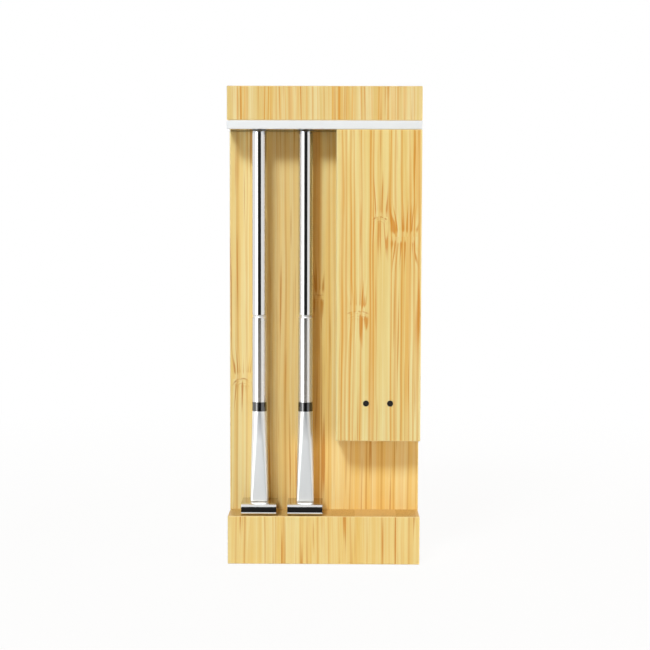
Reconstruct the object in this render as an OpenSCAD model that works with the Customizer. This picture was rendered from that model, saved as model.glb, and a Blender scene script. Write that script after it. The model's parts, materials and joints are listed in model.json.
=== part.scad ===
// Wireless meat thermometer: two steel probes parked in a bamboo charging block.
// Millimetres, +Z up, the front faces -Y, origin at the middle of the underside.

/* [Block] */
// Width of the block
block_w = 64; // [60:1:80]
// Depth of the block from front to back
block_d = 30; // [28:1:40]
// Height of the ledge that the probes stand on, above the table
foot_h = 16.4; // [14:0.2:20]
// Height of the open bay between the ledge and the contact plate
bay_h = 128.1; // [120:0.1:140]
// Thickness of the contact plate
plate_t = 2.9; // [2.5:0.1:4]
// Height of the bamboo cap on top of the plate
cap_h = 11.2; // [11:0.1:16]
// Depth of the ledge in front of the back panel
ledge_d = 12.5; // [12.2:0.1:15]
// Rounding of the bamboo edges
edge_r = 0.35; // [0.3:0.05:1]
// Rounding of the contact plate's edges
plate_edge_r = 0.35; // [0.2:0.05:0.6]

/* [Base and back] */
// Thickness of the soft pad under the foot
pad_t = 1.4; // [1:0.1:2.4]
// How far the pad stands below the bamboo
pad_proud = 0.2; // [0.2:0.1:0.8]
// Distance from the block's sides to the pad
pad_inset = 3; // [2:0.5:6]
// Diameter of a back magnet
magnet_d = 10; // [6:0.5:12]
// Thickness of a back magnet
magnet_t = 3; // [2:0.5:5]
// Distance from the block's sides to a magnet's centre
magnet_inset = 10; // [8:0.5:16]
// Height of the lower magnets above the table
magnet_low_z = 30; // [20:1:40]
// Height of the upper magnets above the table
magnet_high_z = 126; // [100:1:128]

/* [Electronics cover] */
// Width of the cover
cover_w = 28.1; // [27:0.1:32]
// Height of the cover, down from the contact plate
cover_h = 102.8; // [98:0.1:112]
// Wall of the cover
cover_wall = 3; // [2.4:0.1:3.4]
// Diameter of a light window
window_d = 1.95; // [1.6:0.05:3]
// Distance between the two light windows
window_pitch = 8; // [6:0.5:10]
// Height of the light windows above the cover's lower edge
window_rise = 12.6; // [11:0.1:16]
// Diameter of a window's inner flange
window_flange_d = 3.4; // [3.2:0.1:4]
// Thickness of a window's inner flange
window_flange_t = 0.8; // [0.5:0.1:1]

/* [Circuit board] */
// Width of the board
board_w = 20; // [19:0.5:21]
// Height of the board
board_h = 28; // [26:0.5:32]
// Thickness of the board
board_t = 1.2; // [0.8:0.1:1.6]
// Space between the cover's front wall and the board
board_gap = 2; // [1.8:0.1:2.4]
// Space between the cover's lower wall and the board
board_rise = 1; // [0.6:0.1:1.6]
// Distance from the board's sides to its screws
board_screw_inset = 2; // [1.8:0.1:2.6]
// Height of the lower screws above the board's lower edge
board_screw_low = 7; // [6.5:0.1:7.5]
// Height of the upper screws above the board's lower edge
board_screw_high = 18; // [17:0.1:18.2]
// Diameter of a board screw
board_screw_d = 1.4; // [1.2:0.1:1.6]
// Length of a board screw under its head
board_screw_l = 4.6; // [4:0.1:5]
// Diameter of the posts that carry the board
post_d = 3.6; // [3:0.1:4]
// Width and height of a light emitter
led_w = 1.6; // [1:0.1:2]
// Thickness of a light emitter
led_t = 0.8; // [0.5:0.1:0.9]
// Width of the square main chip
chip_w = 5; // [4:0.5:6]
// Thickness of the main chip
chip_t = 0.9; // [0.6:0.1:1.2]
// Width of the radio module
radio_w = 7.5; // [6:0.5:7.5]
// Height of the radio module
radio_h = 8; // [6:0.5:8]
// Thickness of the radio module
radio_t = 1.8; // [1.2:0.1:2.4]

/* [Charging socket and button] */
// Width of the socket's shell
usb_w = 8.94; // [8.9:0.02:9.2]
// Thickness of the socket's shell
usb_h = 3.26; // [3.2:0.02:3.4]
// Length of the socket's shell
usb_l = 7.3; // [6.5:0.1:8]
// Wall of the socket's shell
usb_wall = 0.3; // [0.2:0.05:0.4]
// How far the socket's mouth lies inside the cover's underside
usb_recess = 0.3; // [0.1:0.1:0.6]
// Thickness of the socket's tongue
tongue_t = 0.7; // [0.6:0.05:0.8]
// Diameter of the button
button_d = 3.6; // [3:0.1:4]
// How far the button stands below the cover
button_proud = 0.7; // [0.6:0.1:1]
// Travel of the button
button_travel = 0.5; // [0.3:0.1:0.6]
// Distance from the socket's centre to the button's
button_offset = 7.6; // [7.4:0.1:8]
// Width of the switch behind the button
switch_w = 4.4; // [4:0.1:5]
// Height of the switch
switch_h = 3.6; // [3.2:0.1:4]

/* [Battery] */
// Width of the flat cell
cell_w = 16; // [12:0.5:17]
// Height of the flat cell
cell_h = 54; // [40:1:56]
// Thickness of the flat cell
cell_t = 7; // [5:0.5:7.5]
// Thickness of the foam between the cell and the cover
foam_t = 1; // [0.5:0.1:1.5]
// Diameter of the wires
wire_d = 1.1; // [0.8:0.1:1.2]

/* [Probes] */
// Diameter of a probe's shaft
shaft_d = 4.85; // [4.6:0.05:5.4]
// Bore of the shaft
shaft_bore_d = 3.8; // [3.6:0.1:4]
// Distance from the block's left side to the first probe
probe_inset = 10.35; // [9:0.05:12]
// Distance between the two probes
probe_pitch = 15.4; // [14:0.1:16]
// Length of the tip's taper that shows below the plate
tip_visible = 1.5; // [1:0.1:1.8]
// Radius of the tip's curved flank
tip_curve_r = 4.9; // [4:0.1:5.4]
// Radius of the tip's end
tip_end_r = 0.7; // [0.5:0.1:0.9]
// Height of the ceramic ring
ring_h = 3.1; // [2.5:0.1:4]
// Length of the ring's spigots inside the shaft and the neck
spigot_l = 4; // [3:0.5:6]
// Height of the line groove above the ring
groove_rise = 28.7; // [20:0.1:40]
// Depth of the line groove
groove_depth = 0.28; // [0.1:0.02:0.3]
// Radius of the line groove's section
groove_r = 0.6; // [0.4:0.05:0.8]
// Length of the facetted neck
neck_h = 30.4; // [26:0.1:34]
// Width of the neck at its foot
neck_w = 5.8; // [5:0.1:6.4]
// Depth of the neck at its foot
neck_d = 5.4; // [5:0.1:5.8]
// Rounding of the neck's upright corners at its foot
neck_r = 0.75; // [0.5:0.05:1]
// Bevel round the underside of the neck's foot
neck_bevel = 0.2; // [0.1:0.05:0.4]
// Width of the T-bar
t_bar_w = 11.7; // [10:0.1:13]
// Depth of the T-bar
t_bar_d = 12.5; // [10:0.1:13]
// Height of the T-bar
t_bar_h = 4.1; // [3:0.1:4.5]
// Distance from the shaft's axis to the T-bar's back edge
heel_l = 6.25; // [5.5:0.05:6.5]
// Diameter of the stud that joins the T-bar to the neck
stud_d = 3; // [2:0.1:3.4]
// Length of that stud
stud_l = 5; // [3:0.5:8]
// Length of the cell inside a probe
probe_cell_l = 22; // [15:1:30]
// Width of the sensor board inside a probe
sensor_w = 2.8; // [2:0.1:3]
// Thickness of the sensor board
sensor_t = 0.8; // [0.6:0.1:1]

/* [Tip contact] */
// Width of the slot in the plate
slot_w = 5.5; // [5.2:0.1:6]
// Distance from the front of the block to the slot
slot_front = 2; // [1.5:0.1:3]
// Outer diameter of the contact's barrel
barrel_d = 7; // [6.4:0.1:8]
// Bore of the barrel
barrel_bore_d = 5; // [4.6:0.1:5.4]
// Height of the barrel
barrel_h = 8.6; // [8:0.1:9.4]
// Thickness of the barrel's end walls
barrel_wall = 0.8; // [0.6:0.1:1]
// Diameter of the plunger's stem
plunger_d = 3.6; // [3.2:0.1:3.8]
// Height of the plunger's head
plunger_head_h = 1.6; // [1:0.1:2]
// Gap under the plunger's head while a probe is parked
plunger_lift = 0.9; // [0.5:0.1:1.2]
// Half angle of the plunger's cup
cup_angle = 65; // [64:1:72]
// Diameter of the spring's wire
spring_wire_d = 0.4; // [0.3:0.05:0.4]
// Number of turns of the spring
spring_turns = 4; // [3:1:4]
// Outer diameter of the foot contact's head
pin_head_d = 6; // [4:0.5:8]
// Thickness of the foot contact's head
pin_head_t = 1.2; // [0.8:0.1:2]
// Diameter of the foot contact's stem
pin_d = 2.4; // [2:0.1:3]

/* [Clearances] */
// Gap between a parked T-bar and the ledge
seat_gap = 0.1; // [0.1:0.05:0.2]
// Gap between the T-bar and the back panel
heel_gap = 0.35; // [0.3:0.05:0.5]
// Gap between the plunger's cup and the probe's tip
cup_gap = 0.06; // [0.04:0.01:0.1]
// Radial gap around a part that slides
slide_gap = 0.1; // [0.05:0.01:0.15]
// Radial gap around a part that is glued or screwed in
fit_gap = 0.05; // [0.02:0.01:0.1]
// Gap around the charging socket
usb_gap = 0.25; // [0.15:0.05:0.4]

/* [Hidden] */
$fn = 64;
hull_fn = 32;
over = 1;

front_y = -block_d / 2;
back_y = block_d / 2;
panel_y = front_y + ledge_d;
left_x = -block_w / 2;
right_x = block_w / 2;
bay_top = foot_h + bay_h;
plate_top = bay_top + plate_t;
panel_mid_y = (panel_y + back_y) / 2;
pad_corner_r = 0.3;

// Electronics cover and its cavity
cover_x = right_x - cover_w;
cover_z = bay_top - cover_h;
cavity_x = cover_x + cover_wall;
cavity_w = cover_w - 2 * cover_wall;
cavity_front = front_y + cover_wall;
cavity_z = cover_z + cover_wall;
cavity_top = bay_top - cover_wall;
cover_mid_x = cover_x + cover_w / 2;
window_z = cover_z + window_rise;

// Circuit board, standing behind the light windows
board_x = cover_mid_x - board_w / 2;
board_front = cavity_front + board_gap;
board_back = board_front + board_t;
board_z = cavity_z + board_rise;
board_top = board_z + board_h;
board_screw_head_d = 2 * board_screw_d;
board_screw_head_t = 0.8;
board_screw_x = [board_x + board_screw_inset, board_x + board_w - board_screw_inset];
board_screw_z = [board_z + board_screw_low, board_z + board_screw_high];
socket_y = board_back + usb_h / 2;
button_x = cover_mid_x + button_offset;
tongue_side_gap = 1.1;
tongue_w = usb_w - 2 * tongue_side_gap;
tongue_setback = 1;
button_flange_w = 0.6;
button_flange_d = button_d + 2 * button_flange_w;
button_flange_t = 0.8;
button_flange_gap = 0.1;
button_board_gap = 0.3;
button_y = board_back + button_flange_d / 2 + button_board_gap;
button_stem_d = 2;
button_stem_in = 0.8;
switch_z = cavity_z + button_flange_gap + button_flange_t + button_travel + slide_gap;
switch_well = button_stem_in + button_travel + slide_gap;
chip_offset = 1;
chip_rise = 13;
chip_x = cover_mid_x - chip_offset;
chip_z = board_z + chip_rise;
radio_drop = 7.5;
radio_x = cover_mid_x + chip_offset;
radio_z = board_top - radio_drop;

// Battery above the board, leaving a wire way on its left
cell_gap = 4;
cell_side_gap = 0.6;
cell_x = cavity_x + cavity_w - cell_w - cell_side_gap;
cell_z = board_top + cell_gap;
cell_y = cavity_front + foam_t;
cell_r = 1.5;
lead_pitch = 5;
solder_drop = 3;

// Probes
shaft_r = shaft_d / 2;
axis_y = panel_y - heel_gap - heel_l;
t_bar_z = foot_h + seat_gap;
t_bar_mid_y = axis_y + heel_l - t_bar_d / 2;
neck_z = t_bar_z + t_bar_h;
ring_z = neck_z + neck_h;
shaft_z = ring_z + ring_h;
shoulder_z = bay_top - tip_visible;
tip_offset = tip_curve_r - shaft_r;
tip_centre_l = sqrt(pow(tip_curve_r - tip_end_r, 2) - pow(tip_offset, 2));
tip_turn = atan2(tip_centre_l, tip_offset);
tip_steps = 8;
end_steps = 4;
pivot_z = shoulder_z + tip_centre_l;
tip_solid_l = 2;
shaft_bore_top = shoulder_z - tip_solid_l;
groove_z = shaft_z + groove_rise;
neck_collar_h = 0.8;
inner_gap = 0.2;
inner_space = 0.5;
probe_cell_d = shaft_bore_d - 2 * inner_gap;
probe_cell_z = shaft_z + spigot_l + inner_space;
sensor_z = probe_cell_z + probe_cell_l + inner_space;
function probe_x(n) = left_x + probe_inset + (n - 1) * probe_pitch;

// Sprung tip contact above the plate
plunger_r = plunger_d / 2;
cup_lip = 0.15;
cup_rim_r = plunger_r - cup_lip;
cup_top_z = pivot_z + (tip_end_r + cup_gap) / sin(cup_angle);
cup_rim_z = cup_top_z - cup_rim_r / tan(cup_angle);
barrel_floor_z = plate_top + barrel_wall;
barrel_roof_z = plate_top + barrel_h - barrel_wall;
head_z = barrel_floor_z + plunger_lift;
head_top_z = head_z + plunger_head_h;
head_r = barrel_bore_d / 2 - slide_gap;
spring_gap = 0.02;
spring_h = barrel_roof_z - head_top_z - 2 * spring_gap;
spring_side_gap = 0.2;
spring_r = head_r - spring_wire_d / 2 - spring_side_gap;
spring_sides = 6;
spring_steps = 12;
spring_rings = spring_turns * spring_steps + 1;
spring_climb = spring_h - spring_wire_d;
spring_coil_gap = spring_climb / spring_turns - spring_wire_d;
echo(spring_coil_gap = spring_coil_gap);

// Wiring
wire_r = wire_d / 2;
wire_space = 0.75;
trench_h = 2.4;
trench_mid_z = plate_top + trench_h / 2;
trench_w = 4.6;
trench_setback = 2;
trench_y = axis_y + barrel_d / 2 + trench_setback;
drop_inset = 2.2;
drop_x = cavity_x + drop_inset;
drop_y = board_back + wire_r;
drop_hole_d = 4;
groove_w = 4;
foot_groove_h = 3;
foot_wire_gap = 0.2;
foot_wire_z = pad_t + wire_r + foot_wire_gap;
pin_end_z = foot_wire_z + wire_r + foot_wire_gap;
riser_inset = 5;
riser_rise = 20;
riser_d = 4;
riser_x = board_x + riser_inset;
riser_y = panel_y + riser_inset;
riser_z = board_z + riser_rise;

// Fixings of the plate and the cap
plate_screw_d = 3;
plate_screw_head_d = 5.6;
plate_screw_l = 14;
screw_cone_h = (plate_screw_head_d - plate_screw_d) / 2;
plate_screw_inset = 6;
dowel_d = 5;
dowel_in_cap = 7;
dowel_in_panel = 9;
dowel_inset = 16;
plate_screw_x = [
  left_x + plate_screw_inset, -plate_screw_inset,
  plate_screw_inset, right_x - plate_screw_inset
];
dowel_x = [left_x + dowel_inset, right_x - dowel_inset];

// Shapes that repeat

// Rectangle with round corners, its lower left corner at the origin
module rounded_rect(w, h, r) {
  translate([r, 0]) square([w - 2 * r, h]);
  translate([0, r]) square([w, h - 2 * r]);
  for (x = [r, w - r], y = [r, h - r])
    translate([x, y]) circle(r);
}

// Box with all its edges rounded, its lowest corner at the origin
module rounded_box(size, r) {
  intersection() {
    linear_extrude(size.z) rounded_rect(size.x, size.y, r);
    translate([0, size.y, 0]) rotate([90, 0, 0])
      linear_extrude(size.y) rounded_rect(size.x, size.z, r);
    rotate([90, 0, 90]) linear_extrude(size.x) rounded_rect(size.y, size.z, r);
  }
}

// Section of a flat bar with two half-round edges, centred on the origin
module obround(w, h) {
  square([w - h, h], center = true);
  for (side = [-1, 1])
    translate([side * (w - h) / 2, 0]) circle(d = h);
}

// Round bar from one point to another
module bar(from, to, d) {
  run = to - from;
  flat = norm([run.x, run.y]);
  translate(from) rotate([0, atan2(flat, run.z), atan2(run.y, run.x)])
    cylinder(d = d, h = norm(run));
}

// Insulated wire along a list of points
module wire(points) {
  for (i = [1 : len(points) - 1])
    bar(points[i - 1], points[i], wire_d);
  for (i = [1 : 1 : len(points) - 2])
    translate(points[i]) sphere(d = wire_d);
}

// Flat component on the circuit board's back face, centred on x and z
module on_board(x, z, w, h, t) {
  translate([x - w / 2, board_back, z - h / 2]) cube([w, t, h]);
}

// Slot through the plate for one tip, from the back of the tip to near the front
module tip_slot(n) {
  slot_front_y = front_y + slot_front + slot_w / 2;
  for (y = [axis_y, slot_front_y])
    translate([probe_x(n), y, bay_top - over]) cylinder(d = slot_w, h = plate_t + 2 * over);
  translate([probe_x(n) - slot_w / 2, slot_front_y, bay_top - over])
    cube([slot_w, axis_y - slot_front_y, plate_t + 2 * over]);
}

// Bamboo block

module bamboo_body() {
  color("burlywood") difference() {
    union() {
      translate([left_x, front_y, pad_proud])
        rounded_box([block_w, block_d, foot_h - pad_proud], edge_r);
      translate([left_x, panel_y, pad_proud])
        rounded_box([block_w, block_d - ledge_d, bay_top - pad_proud], edge_r);
    }
    pad_recess();
    foot_wire_way();
    for (n = [1, 2])
      foot_contact_hole(n);
    for (x = plate_screw_x)
      translate([x, panel_mid_y, plate_top - plate_screw_l - fit_gap])
        cylinder(d = plate_screw_d + 2 * fit_gap, h = plate_screw_l);
    for (x = dowel_x)
      translate([x, panel_mid_y, bay_top - dowel_in_panel])
        cylinder(d = dowel_d + 2 * fit_gap, h = dowel_in_panel + over);
    magnet_places() cylinder(d = magnet_d + 2 * fit_gap, h = magnet_t + over);
  }
}

module pad_recess() {
  translate([left_x + pad_inset - fit_gap, front_y + pad_inset - fit_gap, pad_proud - over])
    cube([block_w - 2 * pad_inset + 2 * fit_gap, block_d - 2 * pad_inset + 2 * fit_gap,
          pad_t - pad_proud + over]);
}

// Groove above the pad, then a bore up the panel and forward into the cover
module foot_wire_way() {
  translate([probe_x(1) - groove_w / 2, t_bar_mid_y - groove_w / 2, pad_t - over])
    cube([riser_x - probe_x(1) + groove_w, groove_w, foot_groove_h + over]);
  translate([riser_x - groove_w / 2, t_bar_mid_y - groove_w / 2, pad_t - over])
    cube([groove_w, riser_y - t_bar_mid_y + groove_w, foot_groove_h + over]);
  translate([riser_x, riser_y, pad_t])
    cylinder(d = riser_d, h = riser_z + riser_d / 2 - pad_t);
  translate([riser_x, panel_y - over, riser_z]) rotate([-90, 0, 0])
    cylinder(d = riser_d, h = riser_y - panel_y + over);
}

module foot_contact_hole(n) {
  translate([probe_x(n), t_bar_mid_y, pad_t])
    cylinder(d = pin_d + 2 * fit_gap, h = foot_h);
  translate([probe_x(n), t_bar_mid_y, foot_h - pin_head_t])
    cylinder(d = pin_head_d + 2 * fit_gap, h = pin_head_t + over);
}

// Puts its child at each magnet, pointing out of the back
module magnet_places() {
  for (x = [left_x + magnet_inset, right_x - magnet_inset], z = [magnet_low_z, magnet_high_z])
    translate([x, back_y - magnet_t, z]) rotate([-90, 0, 0]) children();
}

module top_cap() {
  color("burlywood") difference() {
    translate([left_x, front_y, plate_top]) rounded_box([block_w, block_d, cap_h], edge_r);
    for (n = [1, 2])
      translate([probe_x(n), axis_y, plate_top - over])
        cylinder(d = barrel_d + 2 * fit_gap, h = barrel_h + fit_gap + over);
    translate([probe_x(1) - trench_w / 2, trench_y - trench_w / 2, plate_top - over])
      cube([drop_x - probe_x(1) + trench_w, trench_w, trench_h + over]);
    translate([drop_x - trench_w / 2, drop_y - trench_w / 2, plate_top - over])
      cube([trench_w, trench_y - drop_y + trench_w, trench_h + over]);
    for (x = dowel_x)
      translate([x, panel_mid_y, plate_top - over])
        cylinder(d = dowel_d + 2 * fit_gap, h = dowel_in_cap + over);
  }
}

module contact_plate() {
  color("gainsboro") difference() {
    translate([left_x, front_y, bay_top]) rounded_box([block_w, block_d, plate_t], plate_edge_r);
    for (n = [1, 2])
      tip_slot(n);
    translate([drop_x, drop_y, bay_top - over]) cylinder(d = drop_hole_d, h = plate_t + 2 * over);
    for (x = dowel_x)
      translate([x, panel_mid_y, bay_top - over])
        cylinder(d = dowel_d + 2 * fit_gap, h = plate_t + 2 * over);
    for (x = plate_screw_x) {
      translate([x, panel_mid_y, bay_top - over])
        cylinder(d = plate_screw_d + 2 * fit_gap, h = plate_t + 2 * over);
      translate([x, panel_mid_y, plate_top - screw_cone_h - fit_gap])
        cylinder(
          d1 = plate_screw_d + 2 * fit_gap,
          d2 = plate_screw_head_d + 4 * fit_gap,
          h = screw_cone_h + fit_gap
        );
    }
  }
}

module plate_screws() {
  color("silver")
    for (x = plate_screw_x)
      translate([x, panel_mid_y, plate_top - plate_screw_l]) {
        cylinder(d = plate_screw_d, h = plate_screw_l - fit_gap);
        translate([0, 0, plate_screw_l - screw_cone_h - fit_gap])
          cylinder(d1 = plate_screw_d, d2 = plate_screw_head_d, h = screw_cone_h);
      }
}

module cap_dowels() {
  color("tan")
    for (x = dowel_x)
      translate([x, panel_mid_y, bay_top - dowel_in_panel])
        cylinder(d = dowel_d, h = dowel_in_panel + plate_t + dowel_in_cap);
}

module back_magnets() {
  color("dimgray") magnet_places() cylinder(d = magnet_d, h = magnet_t);
}

module base_pad() {
  color("darkslategray")
    translate([left_x + pad_inset, front_y + pad_inset, 0])
      linear_extrude(pad_t)
        rounded_rect(block_w - 2 * pad_inset, block_d - 2 * pad_inset, pad_corner_r);
}

// Electronics

module electronics_cover() {
  color("wheat") difference() {
    union() {
      difference() {
        translate([cover_x, front_y, cover_z]) rounded_box([cover_w, ledge_d, cover_h], edge_r);
        translate([cavity_x, cavity_front, cavity_z])
          cube([cavity_w, ledge_d, cavity_top - cavity_z]);
      }
      for (x = board_screw_x, z = board_screw_z)
        translate([x, cavity_front - over, z]) rotate([-90, 0, 0])
          cylinder(d = post_d, h = board_gap + over);
    }
    for (side = [-1, 1])
      translate([cover_mid_x + side * window_pitch / 2, front_y - over, window_z]) rotate([-90, 0, 0])
        cylinder(d = window_d + 2 * fit_gap, h = cover_wall + 2 * over);
    for (x = board_screw_x, z = board_screw_z)
      translate([x, board_back - board_screw_l - fit_gap, z]) rotate([-90, 0, 0])
        cylinder(d = board_screw_d + 2 * fit_gap, h = board_screw_l);
    translate([cover_mid_x, socket_y, cover_z - over])
      linear_extrude(cover_wall + 2 * over) obround(usb_w + 2 * usb_gap, usb_h + 2 * usb_gap);
    translate([button_x, button_y, cover_z - over])
      cylinder(d = button_d + 2 * slide_gap, h = cover_wall + 2 * over);
    translate([drop_x, drop_y, cavity_top - over])
      cylinder(d = drop_hole_d, h = cover_wall + 2 * over);
  }
}

module led_window(n) {
  side = 2 * n - 3;
  color("black")
    translate([cover_mid_x + side * window_pitch / 2, front_y, window_z]) rotate([-90, 0, 0]) {
      cylinder(d = window_d, h = cover_wall);
      translate([0, 0, cover_wall]) cylinder(d = window_flange_d, h = window_flange_t);
    }
}

module circuit_board() {
  color("darkgreen") difference() {
    translate([board_x, board_front, board_z]) cube([board_w, board_t, board_h]);
    for (x = board_screw_x, z = board_screw_z)
      translate([x, board_front - over, z]) rotate([-90, 0, 0])
        cylinder(d = board_screw_d + 2 * fit_gap, h = board_t + 2 * over);
  }
}

module board_screws() {
  color("silver")
    for (x = board_screw_x, z = board_screw_z)
      translate([x, board_back, z]) rotate([-90, 0, 0]) {
        translate([0, 0, -board_screw_l]) cylinder(d = board_screw_d, h = board_screw_l);
        cylinder(d = board_screw_head_d, h = board_screw_head_t);
      }
}

module status_leds() {
  color("white")
    for (side = [-1, 1])
      translate([cover_mid_x + side * window_pitch / 2, board_front - led_t / 2, window_z])
        cube([led_w, led_t, led_w], center = true);
}

module main_chip() {
  color("dimgray") on_board(chip_x, chip_z, chip_w, chip_w, chip_t);
}

module radio_module() {
  color("silver") on_board(radio_x, radio_z, radio_w, radio_h, radio_t);
}

module usb_socket() {
  color("silver")
    translate([cover_mid_x, socket_y, cover_z + usb_recess]) difference() {
      linear_extrude(usb_l) obround(usb_w, usb_h);
      translate([0, 0, -over])
        linear_extrude(usb_l - usb_wall + over) obround(usb_w - 2 * usb_wall, usb_h - 2 * usb_wall);
    }
}

module usb_tongue() {
  color("dimgray")
    translate([cover_mid_x, socket_y, cover_z + usb_recess + tongue_setback])
      translate([-tongue_w / 2, -tongue_t / 2, 0])
        cube([tongue_w, tongue_t, usb_l - usb_wall - tongue_setback]);
}

module pair_switch() {
  color("dimgray") difference() {
    on_board(button_x, switch_z + switch_h / 2, switch_w, switch_h, 2 * (button_y - board_back));
    translate([button_x, button_y, switch_z - over])
      cylinder(d = button_stem_d + 2 * slide_gap, h = switch_well + over);
  }
}

module pair_button() {
  color("dimgray")
    translate([button_x, button_y, 0]) {
      translate([0, 0, cover_z - button_proud])
        cylinder(d = button_d, h = button_proud + cover_wall + button_flange_gap);
      translate([0, 0, cavity_z + button_flange_gap])
        cylinder(d = button_flange_d, h = button_flange_t);
      translate([0, 0, cavity_z])
        cylinder(d = button_stem_d, h = switch_z - cavity_z + button_stem_in);
    }
}

module battery_cell() {
  color("lightsteelblue")
    translate([cell_x, cell_y + cell_t, cell_z]) rotate([90, 0, 0])
      linear_extrude(cell_t) rounded_rect(cell_w, cell_h, cell_r);
}

module battery_pad() {
  color("gray")
    translate([cell_x + cell_r, cavity_front, cell_z + cell_r])
      cube([cell_w - 2 * cell_r, foam_t, cell_h - 2 * cell_r]);
}

module battery_leads() {
  color("firebrick")
    for (side = [-1, 1])
      let (x = cell_x + cell_w / 2 + side * lead_pitch / 2)
        wire([[x, drop_y, cell_z], [x, drop_y, board_top - solder_drop]]);
}

module tip_wires() {
  color("firebrick")
    for (n = [1, 2]) {
      side = 3 - 2 * n;
      run_y = trench_y + side * wire_space;
      run_x = drop_x + side * wire_space;
      wire([
        [probe_x(n), axis_y + barrel_d / 2, trench_mid_z],
        [probe_x(n), run_y, trench_mid_z],
        [run_x, run_y, trench_mid_z],
        [run_x, drop_y, trench_mid_z],
        [run_x, drop_y, board_top - solder_drop]
      ]);
    }
}

module foot_wires() {
  color("black")
    for (n = [1, 2]) {
      side = 2 * n - 3;
      run_y = t_bar_mid_y + side * wire_space;
      run_x = riser_x - side * wire_space;
      wire([
        [probe_x(n), run_y, pin_end_z],
        [probe_x(n), run_y, foot_wire_z],
        [run_x, run_y, foot_wire_z],
        [run_x, riser_y, foot_wire_z],
        [run_x, riser_y, riser_z],
        [run_x, board_back, riser_z]
      ]);
    }
}

// Contacts

module tip_barrel(n) {
  color("goldenrod")
    translate([probe_x(n), axis_y, plate_top]) difference() {
      cylinder(d = barrel_d, h = barrel_h);
      translate([0, 0, barrel_wall]) cylinder(d = barrel_bore_d, h = barrel_h - 2 * barrel_wall);
      translate([0, 0, -over]) cylinder(d = plunger_d + 2 * slide_gap, h = barrel_wall + 2 * over);
    }
}

// Turned plunger: a head that the spring pushes and a stem with a conical cup
module tip_plunger(n) {
  color("gold")
    translate([probe_x(n), axis_y, 0]) rotate_extrude() polygon([
      [0, cup_top_z],
      [cup_rim_r, cup_rim_z],
      [plunger_r, cup_rim_z],
      [plunger_r, head_z],
      [head_r, head_z],
      [head_r, head_top_z],
      [0, head_top_z]
    ]);
}

// Point k of ring i on the spring's wire
function spring_point(i, k) =
  let (turn = 360 * i / spring_steps)
    let (side = 360 * k / spring_sides)
      let (r = spring_r + spring_wire_d / 2 * cos(side))
        [r * cos(turn), r * sin(turn),
         spring_wire_d / 2 * (1 + sin(side)) + spring_climb * i / (spring_rings - 1)];
function spring_index(i, k) = i * spring_sides + k % spring_sides;

module tip_spring(n) {
  top = spring_rings - 1;
  points = [for (i = [0 : spring_rings - 1], k = [0 : spring_sides - 1]) spring_point(i, k)];
  walls = [
    for (i = [0 : spring_rings - 2], k = [0 : spring_sides - 1], half = [0, 1])
      half == 0
        ? [spring_index(i, k), spring_index(i, k + 1), spring_index(i + 1, k)]
        : [spring_index(i + 1, k), spring_index(i, k + 1), spring_index(i + 1, k + 1)]
  ];
  ends = [
    for (k = [1 : spring_sides - 2], last = [0, 1])
      last == 0
        ? [spring_index(0, 0), spring_index(0, k + 1), spring_index(0, k)]
        : [spring_index(top, 0), spring_index(top, k), spring_index(top, k + 1)]
  ];
  color("lightgray")
    translate([probe_x(n), axis_y, head_top_z + spring_gap])
      polyhedron(points = points, faces = concat(walls, ends));
}

module foot_contact(n) {
  color("gold")
    translate([probe_x(n), t_bar_mid_y, 0]) {
      translate([0, 0, pin_end_z]) cylinder(d = pin_d, h = foot_h - pin_end_z);
      translate([0, 0, foot_h - pin_head_t]) cylinder(d = pin_head_d, h = pin_head_t);
    }
}

// Probes

// Turned tube: straight shaft, curved flank, round end
module probe_shaft(n) {
  flank = [
    for (i = [0 : tip_steps])
      let (a = tip_turn * i / tip_steps)
        [tip_curve_r * cos(a) - tip_offset, shoulder_z + tip_curve_r * sin(a)]
  ];
  end = [
    for (i = [1 : end_steps])
      let (a = tip_turn + (90 - tip_turn) * i / end_steps)
        [tip_end_r * cos(a), pivot_z + tip_end_r * sin(a)]
  ];
  color("silver")
    translate([probe_x(n), axis_y, 0]) difference() {
      rotate_extrude() polygon(concat([[0, shaft_z], [shaft_r, shaft_z]], flank, end));
      translate([0, 0, shaft_z - over])
        cylinder(d = shaft_bore_d, h = shaft_bore_top - shaft_z + over);
      translate([0, 0, groove_z]) rotate_extrude()
        translate([shaft_r + groove_r - groove_depth, 0]) circle(groove_r);
    }
}

module ring(n) {
  color("black")
    translate([probe_x(n), axis_y, ring_z]) {
      cylinder(d = shaft_d, h = ring_h);
      translate([0, 0, -spigot_l])
        cylinder(d = shaft_bore_d - 2 * fit_gap, h = ring_h + 2 * spigot_l);
    }
}

// Neck that runs from the round shaft to a square foot with flat facets
module neck(n) {
  color("gainsboro")
    translate([probe_x(n), axis_y, neck_z]) difference() {
      hull($fn = hull_fn) {
        translate([0, 0, neck_h - neck_collar_h]) cylinder(d = shaft_d, h = neck_collar_h);
        for (x = [-1, 1], y = [-1, 1])
          translate([x * (neck_w / 2 - neck_r), y * (neck_d / 2 - neck_r), 0])
            cylinder(r1 = neck_r - neck_bevel, r2 = neck_r, h = neck_bevel);
      }
      translate([0, 0, neck_h - spigot_l - fit_gap])
        cylinder(d = shaft_bore_d, h = spigot_l + over);
      translate([0, 0, -over]) cylinder(d = stud_d + 2 * fit_gap, h = stud_l + fit_gap + over);
    }
}

module t_bar(n) {
  color("silver") {
    translate([probe_x(n) - t_bar_w / 2, t_bar_mid_y, t_bar_z + t_bar_h / 2]) rotate([90, 0, 90])
      linear_extrude(t_bar_w) obround(t_bar_d, t_bar_h);
    translate([probe_x(n), axis_y, neck_z - over]) cylinder(d = stud_d, h = stud_l + over);
  }
}

module sensor_board(n) {
  color("darkgreen")
    translate([probe_x(n) - sensor_w / 2, axis_y - sensor_t / 2, sensor_z])
      cube([sensor_w, sensor_t, shaft_bore_top - sensor_z - inner_space]);
}

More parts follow.
